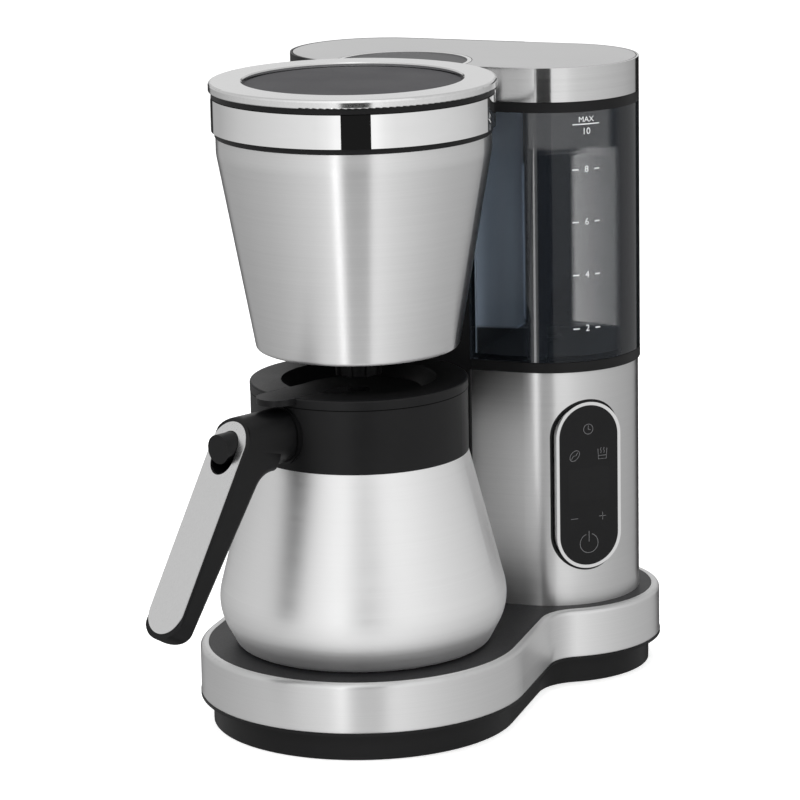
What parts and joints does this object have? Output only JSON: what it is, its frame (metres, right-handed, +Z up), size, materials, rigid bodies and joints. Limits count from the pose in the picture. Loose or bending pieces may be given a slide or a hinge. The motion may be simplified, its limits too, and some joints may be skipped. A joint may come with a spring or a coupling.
{
  "type": "drip coffee maker",
  "caption": "Drip coffee maker: steel filter cone over a thermal carafe with a lever handle, beside a smoked lift-off water tank on a steel-ringed base with a touch panel.",
  "frame": {"origin": "under the middle of the whole machine, on the surface it stands on", "axes": "+Z up, -Y towards the user, +X to the side of the water tank and control panel"},
  "size_m": [0.2282, 0.343, 0.3606],
  "materials": {
    "brushed_steel": "fine brushed stainless steel",
    "satin_steel": "satin stainless steel",
    "polished_steel": "mirror polished steel",
    "carafe_steel": "soft spun steel",
    "satin_aluminium": "satin",
    "black_plastic": "fine grained",
    "plate_plastic": "satin",
    "gloss_black": "polished",
    "smoked_clear": "smoked clear plastic",
    "grey_plastic": "plain moulded",
    "white_plastic": "plain moulded",
    "rubber": "matt",
    "silicone": "matt silicone",
    "screw_steel": "plain",
    "heater_aluminium": "as cast",
    "board": "coated circuit board"
  },
  "bodies": {
    "machine": {"base_pan": "black_plastic", "base_ring": "brushed_steel", "base_plate": "plate_plastic", "rubber_feet": "rubber", "base_screws": "screw_steel", "cord_gland": "rubber", "tower_column": "black_plastic", "back_cover": "black_plastic", "cover_screws": "screw_steel", "tower_shell": "brushed_steel", "lower_liner": "grey_plastic", "tank_seat": "black_plastic", "tank_socket": "black_plastic", "panel_housing": "black_plastic", "panel_bezel": "satin_aluminium", "panel_glass": "gloss_black", "control_board": "board", "power_board": "board", "flow_heater": "heater_aluminium", "heater_clamps": "screw_steel", "thermostat": "screw_steel", "check_valve": "white_plastic", "inlet_hose": "silicone", "riser_hose": "silicone", "water_spout": "black_plastic", "filter_hinge_bracket": "black_plastic", "filter_hinge_pin": "screw_steel", "swing_bracket": "black_plastic", "swing_pin": "screw_steel"},
    "tank": {"water_tank": "smoked_clear", "tank_collar": "black_plastic", "tank_valve": "black_plastic", "tank_hinge_pin": "screw_steel"},
    "plunger": {"tank_plunger": "rubber"},
    "tank_lid": {"lid_frame": "black_plastic", "lid_band": "brushed_steel", "top_plate": "satin_steel", "top_inlay": "gloss_black", "inlay_rim": "polished_steel"},
    "filter_lid": {"filter_lid_ring": "satin_steel", "filter_lid_inset": "plate_plastic", "spray_plate": "black_plastic", "lid_hinge_arm": "black_plastic"},
    "filter_holder": {"filter_band": "polished_steel", "filter_cone": "brushed_steel", "filter_basket": "black_plastic", "swing_lug": "black_plastic", "spring_bridge": "black_plastic", "drip_spring": "screw_steel"},
    "drip_stop": {"drip_valve": "black_plastic"},
    "carafe": {"carafe_shell": "carafe_steel", "carafe_liner": "brushed_steel", "carafe_collar": "black_plastic", "carafe_lid": "black_plastic", "handle": "black_plastic", "handle_plate": "satin_aluminium", "handle_screws": "screw_steel", "lever_pin": "screw_steel"},
    "knob": {"thumb_knob": "black_plastic"},
    "lever": {"pour_lever": "black_plastic"}
  },
  "joints": [
    {"name": "tank_lift", "type": "slide", "parent": "machine", "child": "tank", "axis": [0, 0, 1], "range_m": [0, 0.18]},
    {"name": "plunger_lift", "type": "slide", "parent": "tank", "child": "plunger", "axis": [0, 0, 1], "range_m": [0, 0.003], "stiffness_N_per_m": 100},
    {"name": "tank_lid_hinge", "type": "hinge", "parent": "tank", "child": "tank_lid", "pos_m": [0.035, 0.16468, 0.3404], "axis": [-1, 0, 0], "range_deg": [0, 80]},
    {"name": "filter_lid_hinge", "type": "hinge", "parent": "machine", "child": "filter_lid", "pos_m": [-0.0141, 0.05439, 0.3573], "axis": [-1, 0, 0], "range_deg": [0, 85]},
    {"name": "filter_swing", "type": "hinge", "parent": "machine", "child": "filter_holder", "pos_m": [-0.0761, 0.05219, 0.31], "axis": [0, 0, -1], "range_deg": [0, 75]},
    {"name": "drip_stop_lift", "type": "slide", "parent": "filter_holder", "child": "drip_stop", "axis": [0, 0, 1], "range_m": [0, 0.003], "stiffness_N_per_m": 150, "deforming": ["drip_spring"]},
    {"name": "carafe_pull", "type": "slide", "parent": "machine", "child": "carafe", "axis": [0, -1, 0], "range_m": [0, 0.2]},
    {"name": "knob_slide", "type": "slide", "parent": "carafe", "child": "knob", "axis": [-0.2034, -0.4568, -0.866], "range_m": [0, 0.006], "stiffness_N_per_m": 400},
    {"name": "lever_tilt", "type": "hinge", "parent": "carafe", "child": "lever", "pos_m": [-0.03118, -0.06618, 0.1927], "axis": [-0.9135, 0.4067, 0], "range_deg": [0, 8]}
  ],
  "couplings": [
    {"joint": "lever_tilt", "follows": "knob_slide", "rad_per_m": 23.27}
  ]
}
